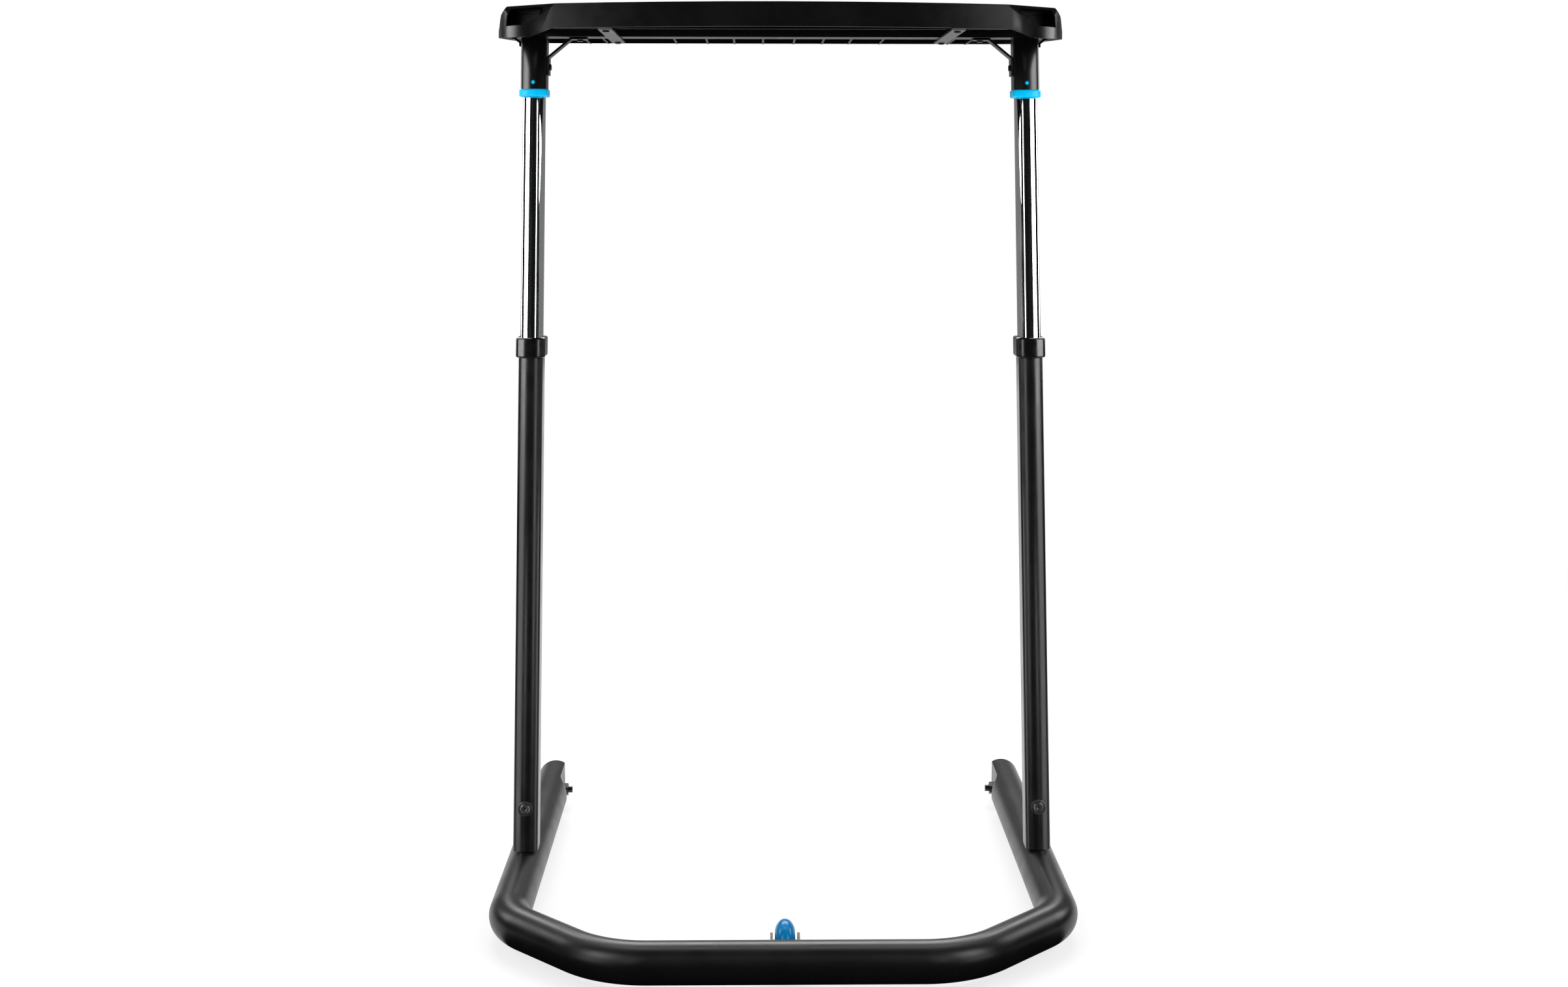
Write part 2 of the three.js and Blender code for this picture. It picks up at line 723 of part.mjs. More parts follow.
// Carriers under the tray
// bent flat bar from the beam down to a side of the sleeve; it leans with the sleeve
const bracket = ({ flange, across, drop, foot }, side) => {
  const faceX = legX + side * (sleeveW / 2 + braceT / 2);
  const topZ = beamZ - braceT / 2;
  const points = [
    [faceX + side * (across + flange), topZ],
    [faceX + side * across, topZ],
    [faceX, topZ - drop],
    [faceX, topZ - drop - foot],
  ];
  const follow = new THREE.Matrix4().set(1, 0, 0, 0, 0, 1, legSlope, legFootY, 0, 0, 1, 0, 0, 0, 0, 1);
  const upright = new THREE.Matrix4().set(1, 0, 0, 0, 0, 0, -1, braceW / 2, 0, 1, 0, 0, 0, 0, 0, 1);
  const shape = strip(side > 0 ? points : points.reverse(), braceT);
  return solid(pulled(shape, braceW, steps).applyMatrix4(upright).applyMatrix4(follow));
};

const sleeveSide = legX - sleeveW / 2;
const flangeScrewX = sleeveSide - braceSize.across - braceSize.flange * flangeScrewShare;
const flangeScrewAt = [flangeScrewX, beamY, beamZ - braceT];
const footScrewZ = beamZ - braceSize.drop - braceSize.foot * footScrewShare;
const footScrewAt = [sleeveSide - braceT, legY(footScrewZ), footScrewZ];
const strapScrewYs = strapScrewIns.map((inset) => trayFrontY + inset);
const strapScrewAt = (y) => [strapX, y, beamZ - strapT];
const flangeScrewL = braceT + beamWall + screwTip;
const footScrewL = braceT + sleeveWall + chromeWall + screwTip;

// pan-head screw with its head under the face that it holds, and its shank along the axis
const screw = (axis, length, at) => turned(axis, [
  [0, -screwHeadH], [screwHeadR - screwHeadEase, -screwHeadH], [screwHeadR, screwHeadEase - screwHeadH],
  [screwHeadR, 0], [screwR, 0], [screwR, length], [0, length],
], at, smallSides);
const screwHole = (axis, at, reach) => bar(axis, screwR + touch, [-reach, reach], at, smallSides);

const crossBeam = () => {
  const [front, back] = [beamY - beamW / 2, beamY + beamW / 2];
  const top = beamZ + beamH;
  const pilots = bothSides([screwHole('z', flangeScrewAt, beamH)]);
  return cut(
    box([-beamHalf, beamHalf], [front, back], [beamZ, top]),
    box(
      [-beamHalf - overrun, beamHalf + overrun],
      [front + beamWall, back - beamWall],
      [beamZ + beamWall, top - beamWall],
    ),
    ...pilots,
  );
};

const footScrewHole = () => screwHole('x', footScrewAt, footScrewL + gap);
const chromeTube = () => cut(
  legTube(chromeW, chromeD, chromeWall, [chromeZ, beamZ]),
  buttonHole(),
  footScrewHole(),
);
const upperSleeve = () => cut(
  legTube(sleeveW, sleeveD, sleeveWall, [sleeveZ, beamZ]),
  buttonHole(),
  footScrewHole(),
);

const innerBrace = () => cut(
  bracket(braceSize, -1),
  screwHole('z', flangeScrewAt, 2 * braceT),
  footScrewHole(),
);

const outerGusset = () => {
  const flange = beamHalf - legX - sleeveW / 2 - braceT / 2 - gussetSize.across;
  return bracket({ ...gussetSize, flange }, 1);
};

const strap = () => cut(
  box(
    [strapX - strapW / 2, strapX + strapW / 2],
    [strapScrewYs[0] - strapEnd, strapScrewYs[1] + strapEnd],
    [beamZ - strapT, beamZ],
  ),
  ...strapScrewYs.map((y) => screwHole('z', strapScrewAt(y), 2 * strapT)),
);

// Tray
const lowZ = trayBottomZ - lobeDrop;
const rearRimZ = trayBottomZ + rearRise;
const deckZ = trayTopZ - rimLift;
const underDeckZ = deckZ - deckT;
const trayBackY = trayFrontY + trayDepth;

// right half of the plan from the middle of the front edge, then mirrored
const trayPlan = (inset) => {
  const middle = new THREE.Vector2(0, trayFrontY);
  const frontPull = new THREE.Vector2(lobeX / 2, trayFrontY);
  const lobeStart = new THREE.Vector2(lobeX, trayFrontY + frontBow);
  const lobePull = new THREE.Vector2(trayHalfW + cornerPull[0], trayFrontY + cornerPull[1]);
  const sideFront = new THREE.Vector2(trayHalfW, trayFrontY + sideStart);
  const bendAt = [trayHalfW - rearCornerR, trayBackY - rearCornerR];
  const front = new THREE.QuadraticBezierCurve(middle, frontPull, lobeStart);
  const lobe = new THREE.QuadraticBezierCurve(lobeStart, lobePull, sideFront);
  const rear = new THREE.EllipseCurve(...bendAt, rearCornerR, rearCornerR, 0, Math.PI / 2);
  const half = [
    ...front.getPoints(planSteps.front),
    ...lobe.getPoints(planSteps.lobe).slice(1),
    ...rear.getPoints(planSteps.rear),
  ];
  const all = [...half, ...half.slice(1).map((p) => new THREE.Vector2(-p.x, p.y)).reverse()];
  const moved = all.map((p, i) => {
    const before = all[(i + all.length - 1) % all.length];
    const after = all[(i + 1) % all.length];
    const a = p.clone().sub(before).normalize();
    const b = after.clone().sub(p).normalize();
    const along = a.clone().add(b).normalize();
    const reach = inset / along.dot(a);
    return new THREE.Vector2(p.x - along.y * reach, p.y + along.x * reach);
  });
  return new THREE.Shape(moved);
};

// room between the crowned sides
const crown = (inset) => {
  const side = crownIns.map((x, i) => [trayHalfW - x - inset, trayTopZ - crownDrops[i]]);
  const right = [
    [side[0][0], lowZ - 2 * overrun],
    ...side,
    [side.at(-1)[0], trayTopZ + 2 * overrun],
  ];
  const left = right.map(([x, z]) => [-x, z]).reverse();
  return profileY(outline([...right, ...left]), [trayFrontY - overrun, trayBackY + overrun]);
};

// what lies outside the slanted face of the right front corner
const slant = (inset) => {
  const from = new THREE.Vector3(lobeX - slantFrom[0], trayFrontY + slantFrom[1], trayTopZ);
  const to = new THREE.Vector3(trayHalfW - slantTo[0], trayFrontY + slantTo[1], trayTopZ);
  const foot = new THREE.Vector3(lobeX + slantFoot[0], trayFrontY + slantFoot[1], trayTopZ - slantFoot[2]);
  const along = to.clone().sub(from).normalize();
  const out = foot.sub(from).cross(along).normalize();
  const up = out.clone().cross(along);
  const middle = from.add(to).multiplyScalar(1 / 2).addScaledVector(out, -inset);
  const face = new THREE.Matrix4().makeBasis(along, up, out).setPosition(middle);
  const block = new THREE.BoxGeometry(slantReach, slantReach, slantReach);
  return solid(block.translate(0, 0, slantReach / 2).applyMatrix4(face));
};

// the tray's outer form, drawn in all round
const trayForm = (inset, span) => cut(
  profileZ(trayPlan(inset), span).intersect(crown(inset)),
  ...bothSides([slant(inset)]),
);

const pocketZs = pocketDrops.map((drop) => trayTopZ - drop);
const pocketProfile = (wall) => {
  const [top, knee, floor] = pocketZs;
  const starts = pocketStarts.map((x) => lobeX + x - wall);
  const ends = pocketEnds.map((x) => trayHalfW - x + wall);
  return outline([
    [starts[0], wall ? deckZ : top], [starts[1], knee], [starts[2], floor - wall],
    [ends[2], floor - wall], [ends[1], knee], [ends[0], wall ? deckZ : top],
  ]);
};

const deskTray = () => {
  const rim = cut(
    trayForm(0, [lowZ, trayTopZ]),
    trayForm(rimT, [lowZ - overrun, underDeckZ]),
    trayForm(rimStep, [deckZ, trayTopZ + overrun]),
  );
  const across = [-trayHalfW, trayHalfW];
  const along = [trayFrontY, trayBackY];
  const ribs = ribXs.map((x) => box([x - ribT / 2, x + ribT / 2], along, [trayBottomZ + ribRise, deckZ]));
  const crossRibY = trayFrontY + crossRibIn;
  const crossRib = box(
    [-lobeX, lobeX],
    [crossRibY - ribT / 2, crossRibY + ribT / 2],
    [trayBottomZ + crossRibRise, deckZ],
  );
  const pocketBackY = trayFrontY + pocketDepth;
  const housing = profileY(pocketProfile(pocketWall), [trayFrontY, pocketBackY + pocketWall]);
  const bosses = strapScrewYs.map((y) => bar('z', bossR, [0, deckZ - beamZ], [strapX, y, beamZ], smallSides));
  const inside = join(crossRib, ...bothSides([...ribs, housing, ...bosses]));
  const kept = inside.intersect(trayForm(rimT / 2, [lowZ, deckZ - deckT / 2]));
  const lobeBackY = trayFrontY + lobeRun;
  const rearCut = profileX(outline([
    [lobeBackY, lowZ - overrun],
    [lobeBackY, lowZ],
    [trayBackY + overrun, rearRimZ],
    [trayBackY + overrun, lowZ - overrun],
  ]), across);
  const fasciaHalf = lobeX + lobeEase;
  const fasciaCut = profileY(outline([
    [-fasciaHalf, lowZ - overrun], [fasciaHalf, lowZ - overrun], [fasciaHalf, lowZ],
    [lobeX, trayBottomZ], [-lobeX, trayBottomZ], [-fasciaHalf, lowZ],
  ]), [trayFrontY - overrun, trayBackY + overrun]);
  const pocket = cut(
    profileY(pocketProfile(0), [trayFrontY - overrun, pocketBackY]),
    trayForm(rimStep, [underDeckZ, trayTopZ + overrun]),
  );
  const beamSeat = box(
    [-beamHalf - gap, beamHalf + gap],
    [beamY - beamW / 2 - gap, beamY + beamW / 2 + gap],
    [lowZ - overrun, beamZ + beamH + gap],
  );
  const pilots = strapScrewYs.map((y) => (
    bar('z', screwR + touch, [-overrun, screwBite], [strapX, y, beamZ], smallSides)
  ));
  return cut(join(cut(rim, rearCut, fasciaCut), kept), beamSeat, ...bothSides([pocket, ...pilots]));
};

const gripMat = () => trayForm(rimStep + matGap, [deckZ, deckZ + matT]);

// Assembly
place('base_frame', baseFrame(), 'powderCoat');
placePair('end_cap', endCap(), 'matteBlack');
place('front_wheel_bracket', frontBracket(), 'zinc');
place('front_axle_bolt', frontAxle(), 'blackOxide');
place('front_axle_nut', nutX(frontNut, axleR + touch, -earFace, frontAt), 'zinc');
placePair('front_wheel_spacer', spacer(axleR, [frontHubHalf + hubPlay, earGap / 2 - touch], frontAt), 'zinc');
place('front_tyre', tyre(frontWheelR, frontWheelW, frontHubR, frontAt), 'blue');
place('front_hub', hub(frontHubR, frontHubHalf, axleR + axleGap, frontAt), 'matteBlack');
placePair('rear_tyre', tyre(rearWheelR, rearWheelW, rearHubR, rearCentre), 'rubber');
placePair('rear_hub', hub(rearHubR, rearHubHalf, rearAxleR + axleGap, rearCentre), 'matteBlack');
placePair('rear_axle', rearAxle(), 'blackOxide');
const rearSpacerSpan = [rearInnerFace + touch, rearX - rearHubHalf - hubPlay];
placePair('rear_axle_spacer', spacer(rearAxleR, rearSpacerSpan, rearAt), 'zinc');
placePair('rear_axle_nut', nutX(rearNut, rearAxleR + touch, rearNutFace, rearAt), 'blackOxide');
placePair('lower_leg', lowerLeg(), 'powderCoat');
placePair('leg_bolt', legBolt(), 'blackOxide');
placePair('leg_washer', legWasher(), 'blackOxide');
placePair('leg_nut', legNut(), 'zinc');
placePair('leg_collar', legCollar(), 'glossBlack');
placePair('chrome_tube', chromeTube(), 'chrome');
placePair('guide_plug', guidePlug(), 'matteBlack');
placePair('upper_sleeve', upperSleeve(), 'powderCoat');
placePair('blue_ring', blueRing(), 'blue');
placePair('snap_button', snapButton(), 'blue');
placePair('button_spring', buttonSpring(), 'zinc');
place('cross_beam', crossBeam(), 'powderCoat');
placePair('inner_brace', innerBrace(), 'powderCoat');
placePair('outer_gusset', outerGusset(), 'powderCoat');
placePair('strap', strap(), 'greySteel');
placePair('brace_screw', screw('z', flangeScrewL, flangeScrewAt), 'blackOxide');
placePair('foot_screw', screw('x', footScrewL, footScrewAt), 'blackOxide');
strapScrewYs.forEach((y, i) => {
  placePair(`strap_screw_${i + 1}`, screw('z', strapScrewL, strapScrewAt(y)), 'blackOxide');
});
place('desk_tray', deskTray(), 'matteBlack');
place('grip_mat', gripMat(), 'rubber');

// the origin: the middle of the bounding box's base
const bounds = new THREE.Box3().setFromObject(deskStand);
const middle = bounds.getCenter(new THREE.Vector3());
deskStand.position.set(-middle.x, -middle.y, -bounds.min.z);

export default deskStand;
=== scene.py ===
"""Bike trainer desk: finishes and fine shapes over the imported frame, lit as a studio photograph."""
import json
import math

import bmesh
import bpy
from mathutils import Matrix, Vector


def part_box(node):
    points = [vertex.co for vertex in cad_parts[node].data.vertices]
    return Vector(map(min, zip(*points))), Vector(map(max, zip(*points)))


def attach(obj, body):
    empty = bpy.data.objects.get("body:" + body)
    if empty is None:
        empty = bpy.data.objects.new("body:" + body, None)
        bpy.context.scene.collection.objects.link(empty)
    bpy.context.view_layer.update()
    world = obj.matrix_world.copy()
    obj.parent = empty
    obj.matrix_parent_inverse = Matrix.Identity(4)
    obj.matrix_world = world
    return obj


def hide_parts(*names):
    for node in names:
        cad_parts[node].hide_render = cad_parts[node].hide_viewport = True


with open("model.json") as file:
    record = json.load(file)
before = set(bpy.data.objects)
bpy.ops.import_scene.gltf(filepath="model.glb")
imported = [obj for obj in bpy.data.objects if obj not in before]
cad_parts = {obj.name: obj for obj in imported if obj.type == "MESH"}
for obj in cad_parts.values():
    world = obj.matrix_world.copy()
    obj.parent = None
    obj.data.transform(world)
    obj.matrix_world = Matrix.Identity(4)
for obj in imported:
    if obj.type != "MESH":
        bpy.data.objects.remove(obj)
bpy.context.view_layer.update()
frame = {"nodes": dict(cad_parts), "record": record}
MM = 0.001
SIDES = (("left", -1), ("right", 1))


def placed(name, data):
    """Put an object with this data into the scene."""
    obj = bpy.data.objects.new(name, data)
    bpy.context.collection.objects.link(obj)
    return obj


# Camera, from the photograph's perspective
PHOTO_W = 2408
FOCAL_PX = 2982
SENSOR_W = 36
HORIZON_DROP_PX, CENTRE_PX = -52, -2
CAMERA_AT = Vector((-0.0335, -2.5494, 0.9319))
PITCH, YAW, ROLL = math.radians(-8.31), math.radians(0.865), math.radians(0.069)


def add_camera():
    data = bpy.data.cameras.new("camera")
    data.sensor_width = SENSOR_W
    data.lens = SENSOR_W * FOCAL_PX / PHOTO_W
    data.shift_x, data.shift_y = CENTRE_PX / PHOTO_W, HORIZON_DROP_PX / PHOTO_W
    camera = placed("camera", data)
    heading = Matrix.Rotation(-YAW, 4, "Z") @ Matrix.Rotation(math.pi / 2 + PITCH, 4, "X")
    look = heading @ Matrix.Rotation(ROLL, 4, "Z")
    camera.matrix_world = Matrix.Translation(CAMERA_AT) @ look
    bpy.context.scene.camera = camera


# Material nodes
class Finish:
    """A principled material with helpers for object-space noise, ramps and bump."""

    def __init__(self, name, color, **sockets):
        self.material = bpy.data.materials.new(name)
        self.material.use_nodes = True
        self.tree = self.material.node_tree
        self.shader = self.tree.nodes["Principled BSDF"]
        self.shader.inputs["Base Color"].default_value = (*color, 1)
        self.normal = None
        for socket, value in sockets.items():
            self.shader.inputs[socket.replace("_", " ")].default_value = value
        self.place = self.add("ShaderNodeTexCoord").outputs["Object"]

    def add(self, kind, inputs=(), **settings):
        """Make a node: settings first, then each input as a link or a constant."""
        node = self.tree.nodes.new(kind)
        for key, value in settings.items():
            setattr(node, key, value)
        for key, value in dict(inputs).items():
            if isinstance(value, bpy.types.NodeSocket):
                self.tree.links.new(value, node.inputs[key])
            else:
                node.inputs[key].default_value = value
        return node

    def noise(self, scale, detail=3, stretch=None):
        """Noise of so many waves a metre, drawn out along an axis where the stretch is small."""
        vector = self.place
        if stretch:
            vector = self.add("ShaderNodeMapping", {"Vector": vector, "Scale": stretch}).outputs[0]
        inputs = {"Vector": vector, "Scale": scale, "Detail": detail}
        return self.add("ShaderNodeTexNoise", inputs).outputs["Fac"]

    def cells(self, scale):
        """Distance to the middle of the nearest cell, at so many cells a metre."""
        inputs = {"Vector": self.place, "Scale": scale}
        return self.add("ShaderNodeTexVoronoi", inputs).outputs["Distance"]

    def spread(self, value, low, high, start, end):
        """Low to high as the value goes from start to end."""
        inputs = {"Value": value, "From Min": start, "From Max": end, "To Min": low, "To Max": high}
        return self.add("ShaderNodeMapRange", inputs).outputs[0]

    def blend(self, share, first, second):
        inputs = {"Factor": share, "A": first, "B": second}
        mix = self.add("ShaderNodeMix", inputs, data_type="RGBA")
        self.tree.links.new(mix.outputs["Result"], self.shader.inputs["Base Color"])

    def color(self, value, dark, light):
        self.blend(value, (*dark, 1), (*light, 1))

    def tint(self, share, color):
        """Blend the colour so far toward another one."""
        self.blend(share, self.shader.inputs["Base Color"].links[0].from_socket, (*color, 1))

    def roughness(self, value, low, high, start=0.3, end=0.7):
        self.tree.links.new(self.spread(value, low, high, start, end), self.shader.inputs["Roughness"])

    def bump(self, value, depth, strength):
        """Raise the surface by a depth in metres, on top of the bumps so far."""
        inputs = {"Height": value, "Distance": depth, "Strength": strength}
        if self.normal:
            inputs["Normal"] = self.normal
        self.normal = self.add("ShaderNodeBump", inputs).outputs[0]
        self.tree.links.new(self.normal, self.shader.inputs["Normal"])

    def show(self, share, first, second):
        """Let the surface go from the first shader to the second by a share."""
        mix = self.add("ShaderNodeMixShader", {0: share, 1: first, 2: second})
        self.tree.links.new(mix.outputs[0], self.tree.nodes["Material Output"].inputs["Surface"])


def srgb(r, g, b):
    """Linear colour of a screen colour of 0 to 255."""
    def linear(v):
        v /= 255
        return v / 12.92 if v <= 0.04045 else ((v + 0.055) / 1.055) ** 2.4
    return tuple(linear(v) for v in (r, g, b))


def powder_coat(name="powder_coat", dark=(7, 7, 8), light=(12, 12, 13)):
    """Satin powder coat: faint mottling, orange peel and a finer grain over it."""
    f = Finish(name, srgb(*light), Specular_IOR_Level=0.65)
    f.color(f.noise(9, detail=4), srgb(*dark), srgb(*light))
    f.roughness(f.noise(35, detail=4), low=0.2, high=0.27)
    f.bump(f.noise(420, detail=2), depth=0.00008, strength=0.3)
    f.bump(f.noise(1600, detail=2), depth=0.00005, strength=0.3)
    return f.material


def base_coat():
    """The base's rougher, more matte powder coat."""
    f = Finish("base_coat", srgb(10, 10, 11), Specular_IOR_Level=0.3)
    f.color(f.noise(11, detail=5), srgb(6, 6, 7), srgb(12, 12, 13))
    f.roughness(f.noise(28, detail=4), low=0.29, high=0.36)
    f.bump(f.noise(380, detail=2), depth=0.0001, strength=0.25)
    f.bump(f.noise(1500, detail=2), depth=0.00005, strength=0.3)
    return f.material


# Grip pockets' back walls, where light is painted: where the paler grey of painted light begins and ends,
# and the walls' middles and half sizes
POCKET_INNER, POCKET_OUTER = 322 * MM, 352 * MM
POCKET_X, POCKET_Y, POCKET_Z = 338 * MM, 80 * MM, 1134 * MM
POCKET_HALF_X, POCKET_HALF_Y, POCKET_HALF_Z = 18 * MM, 17 * MM, 12.7 * MM


def painted_pocket_light(f):
    """Share of the painted light, a paler grey standing in for sheen, on the back walls of the grip
    pockets, stronger toward the inner end.
    """
    x, y, z = f.add("ShaderNodeSeparateXYZ", {0: f.place}).outputs
    out = f.add("ShaderNodeMath", {0: x}, operation="ABSOLUTE").outputs[0]
    share = f.spread(out, 1, 0, POCKET_INNER, POCKET_OUTER)
    limits = ((y, POCKET_Y, POCKET_HALF_Y), (z, POCKET_Z, POCKET_HALF_Z), (out, POCKET_X, POCKET_HALF_X))
    for value, middle, half in limits:
        near = f.add("ShaderNodeMath", {0: value, 1: middle, 2: half}, operation="COMPARE").outputs[0]
        share = f.add("ShaderNodeMath", {0: share, 1: near}, operation="MULTIPLY").outputs[0]
    return share


def moulded_plastic():
    """Satin moulded plastic with a fine spark-eroded grain, and painted light on the grip pockets' back
    walls.
    """
    f = Finish("moulded_black", srgb(12, 12, 13), Specular_IOR_Level=0.25)
    f.color(f.noise(7, detail=3), srgb(6, 6, 7), srgb(11, 11, 12))
    # Painted light: the black plastic goes paler grey on the pockets' back walls, standing in for a sheen
    # the lamps don't reach
    f.tint(painted_pocket_light(f), srgb(168, 168, 171))
    f.roughness(f.noise(60, detail=3), low=0.2, high=0.26)
    f.bump(f.cells(1900), depth=0.00003, strength=0.3)
    f.bump(f.noise(700, detail=3), depth=0.00003, strength=0.2)
    return f.material


def gloss_plastic():
    """Smooth black plastic with a thin shine."""
    f = Finish("gloss_black", srgb(8, 8, 9), Coat_Weight=0.3, Coat_Roughness=0.06)
    f.color(f.noise(20), srgb(6, 6, 7), srgb(11, 11, 12))
    f.roughness(f.noise(90, detail=5), low=0.12, high=0.22)
    f.bump(f.noise(250, detail=2), depth=0.00003, strength=0.2)
    return f.material


def chrome():
    """Polished chrome with hairlines along the tube and a breath of haze."""
    f = Finish("chrome", srgb(232, 234, 236), Metallic=1)
    f.color(f.noise(6, detail=3), srgb(226, 228, 231), srgb(238, 240, 242))
    f.roughness(f.noise(14, detail=5, stretch=(6, 6, 0.6)), low=0.03, high=0.07)
    f.bump(f.noise(2200, detail=2, stretch=(1, 1, 0.012)), depth=0.000005, strength=0.06)
    return f.material


def blue_plastic():
    """Bright blue moulded plastic."""
    f = Finish("blue_plastic", srgb(0, 180, 246), Specular_IOR_Level=0.12,
               Coat_Weight=0.12, Coat_Roughness=0.08)
    f.color(f.noise(40), srgb(0, 186, 244), srgb(0, 200, 252))
    f.roughness(f.noise(150, detail=4), low=0.24, high=0.34)
    f.bump(f.noise(900, detail=2), depth=0.00003, strength=0.3)
    return f.material


def blue_tyre():
    """Cast polyurethane: a thin gloss over an uneven, slightly rough skin."""
    f = Finish("blue_tyre", srgb(0, 118, 184), Specular_IOR_Level=0.06,
               Coat_Weight=0.22, Coat_Roughness=0.06)
    f.color(f.noise(55, detail=5), srgb(0, 92, 142), srgb(0, 116, 170))
    f.roughness(f.noise(120, detail=5), low=0.2, high=0.4)
    f.bump(f.noise(260, detail=4), depth=0.00004, strength=0.25)
    return f.material


def rubber():
    """Matte rubber with a pebbled grain."""
    f = Finish("black_rubber", srgb(18, 18, 19), Specular_IOR_Level=0.3)
    f.color(f.noise(12, detail=4), srgb(14, 14, 15), srgb(24, 24, 25))
    f.roughness(f.noise(80, detail=3), low=0.6, high=0.8)
    f.bump(f.cells(520), depth=0.00035, strength=0.7)
    f.bump(f.noise(1200, detail=2), depth=0.00005, strength=0.4)
    return f.material


def zinc():
    """Zinc plating: warm grey, spangled in its gloss."""
    f = Finish("zinc", srgb(96, 90, 78), Metallic=0.8)
    f.color(f.noise(70, detail=5), srgb(78, 72, 60), srgb(112, 106, 94))
    f.roughness(f.cells(380), low=0.26, high=0.42, start=0, end=1)
    f.bump(f.noise(600, detail=3), depth=0.00004, strength=0.4)
    return f.material


def black_oxide(name="black_oxide", dark=(40, 40, 42), light=(66, 66, 68)):
    """Dark oxide on steel, lighter or darker by its two colours."""
    f = Finish(name, srgb(*light), Metallic=0.9)
    f.color(f.noise(130, detail=5), srgb(*dark), srgb(*light))
    f.roughness(f.noise(200, detail=4), low=0.16, high=0.26)
    f.bump(f.noise(900, detail=3), depth=0.00004, strength=0.4)
    return f.material


FINISHES = {
    "powder_coat": powder_coat(),
    "grey_steel": powder_coat("grey_steel", (58, 58, 59), (72, 72, 73)),
    "base_coat": base_coat(),
    "moulded_black": moulded_plastic(),
    "gloss_black": gloss_plastic(),
    "chrome": chrome(),
    "blue_plastic": blue_plastic(),
    "blue_tyre": blue_tyre(),
    "black_rubber": rubber(),
    "zinc": zinc(),
    "black_oxide": black_oxide(),
    # Painted light: the leg bolts and washers get a lighter copy of the same black oxide, so that their
    # highlights show on the dark legs
    "leg_bolt_painted_bright_oxide": black_oxide("leg_bolt_painted_bright_oxide", (90, 90, 92), (120, 120, 122)),
}
SLOT_OF = {part["node"]: part["material_slot"] for part in frame["record"]["subparts"]}
FINISH_OF = {**SLOT_OF, "base_frame": "base_coat"}
# The leg bolts and washers wear the lighter, painted-light copy of the black oxide
for fastener in ("left_leg_bolt", "right_leg_bolt", "left_leg_washer", "right_leg_washer"):
    FINISH_OF[fastener] = "leg_bolt_painted_bright_oxide"
BODY_OF = {node: body for body, nodes in frame["record"]["behaviour"]["bodies"].items() for node in nodes}

# Widths of the rounded edges
PART_EDGE, FASTENER_EDGE, LEG_EDGE, HOLED_TUBE_EDGE = 0.4 * MM, 0.6 * MM, 0.35 * MM, 0.25 * MM
COLLAR_EDGE, RING_EDGE, TYRE_EDGE, HUB_EDGE = 0.3 * MM, 0.2 * MM, 0.3 * MM, 0.25 * MM


# Pieces that stand for CAD nodes
def piece(name, mesh, node):
    """Make a piece that stands for a node, rides with it and wears its finish."""
    obj = placed(name, mesh)
    mesh.materials.clear()
    mesh.materials.append(FINISHES[FINISH_OF[node]])
    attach(obj, BODY_OF[node])
    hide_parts(node)
    return obj


def mesh_from(bm, name):
    """Turn edited geometry into a mesh and free it."""
    mesh = bpy.data.meshes.new(name)
    bm.to_mesh(mesh)
    bm.free()
    return mesh


def apply_modifiers(obj):
    depsgraph = bpy.context.evaluated_depsgraph_get()
    done = bpy.data.meshes.new_from_object(obj.evaluated_get(depsgraph))
    obj.modifiers.clear()
    obj.data = done


def smooth_by_angle(obj, limit):
    """Smooth shading up to an angle, with large faces kept true up to their rounded edges."""
    bm = bmesh.new()
    bm.from_mesh(obj.data)
    for face in bm.faces:
        face.smooth = True
    for edge in bm.edges:
        edge.smooth = len(edge.link_faces) == 2 and edge.calc_face_angle(0) < limit
    bm.to_mesh(obj.data)
    bm.free()
    weights = obj.modifiers.new("normals", "WEIGHTED_NORMAL")
    weights.keep_sharp = True
    apply_modifiers(obj)


def soften(obj, width, sharp=math.radians(40), smooth=math.radians(32)):
    """Round the edges that turn by more than the sharp angle and shade the gentler ones smooth."""
    rounding = obj.modifiers.new("edges", "BEVEL")
    rounding.width = width
    rounding.segments = 2
    rounding.limit_method = "ANGLE"
    rounding.angle_limit = sharp
    apply_modifiers(obj)
    smooth_by_angle(obj, smooth)


# Angles at which a node's facets count as one flat face, as an edge and as a curve
FLAT_ANGLE, EDGE_ANGLE, CURVE_ANGLE = math.radians(0.6), math.radians(28), math.radians(35)
WELD, FINE_WELD = 1e-6, 1e-7


def dress(node, bevel):
    """Copy a node, merge its flat facets, round its edges and shade its curves smooth."""
    mesh = frame["nodes"][node].data.copy()
    bm = bmesh.new()
    bm.from_mesh(mesh)
    bmesh.ops.remove_doubles(bm, verts=bm.verts, dist=WELD)
    bmesh.ops.dissolve_limit(bm, angle_limit=FLAT_ANGLE, verts=bm.verts, edges=bm.edges)
    bm.to_mesh(mesh)
    bm.free()
    soften(piece(f"{node}_finished", mesh, node), bevel, EDGE_ANGLE, CURVE_ANGLE)


# Base tube, swept smooth
TUBE_R = 25.4 * MM
TUBE_WALL = 2 * MM
TUBE_Z = 33 * MM
FRONT_HALF, SIDE_X, SIDE_TOE, SIDE_END = 212 * MM, 338 * MM, -1.5 * MM, 706 * MM
BEND_RADII = (125 * MM, 86 * MM)
FLAT_LENGTH, FLAT_FULL, FLAT_DEPTH = 100 * MM, 62 * MM, 12 * MM
FLAT_RUN = FLAT_LENGTH * 1.2
TUBE_SIDES, BEND_STEPS, FLAT_STEPS = 64, 14, 30
CAD_SIDES = 20
CAP_DEPTH = 10 * MM
BASE_CURVE = math.radians(30)
# Slots for the rear wheels: room around the tyre, how far down they cut, and their upper end
SLOT_ROOM, SLOT_DOWN = Vector((3, 4, 0)) * MM, Vector((0, 0, 10 * MM))
SLOT_TOP = TUBE_Z - 12.5 * MM


def tube_front_y():
    """The centre line's front run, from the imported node's foremost point."""
    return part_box("base_frame")[0].y + TUBE_R * math.cos(math.pi / CAD_SIDES)


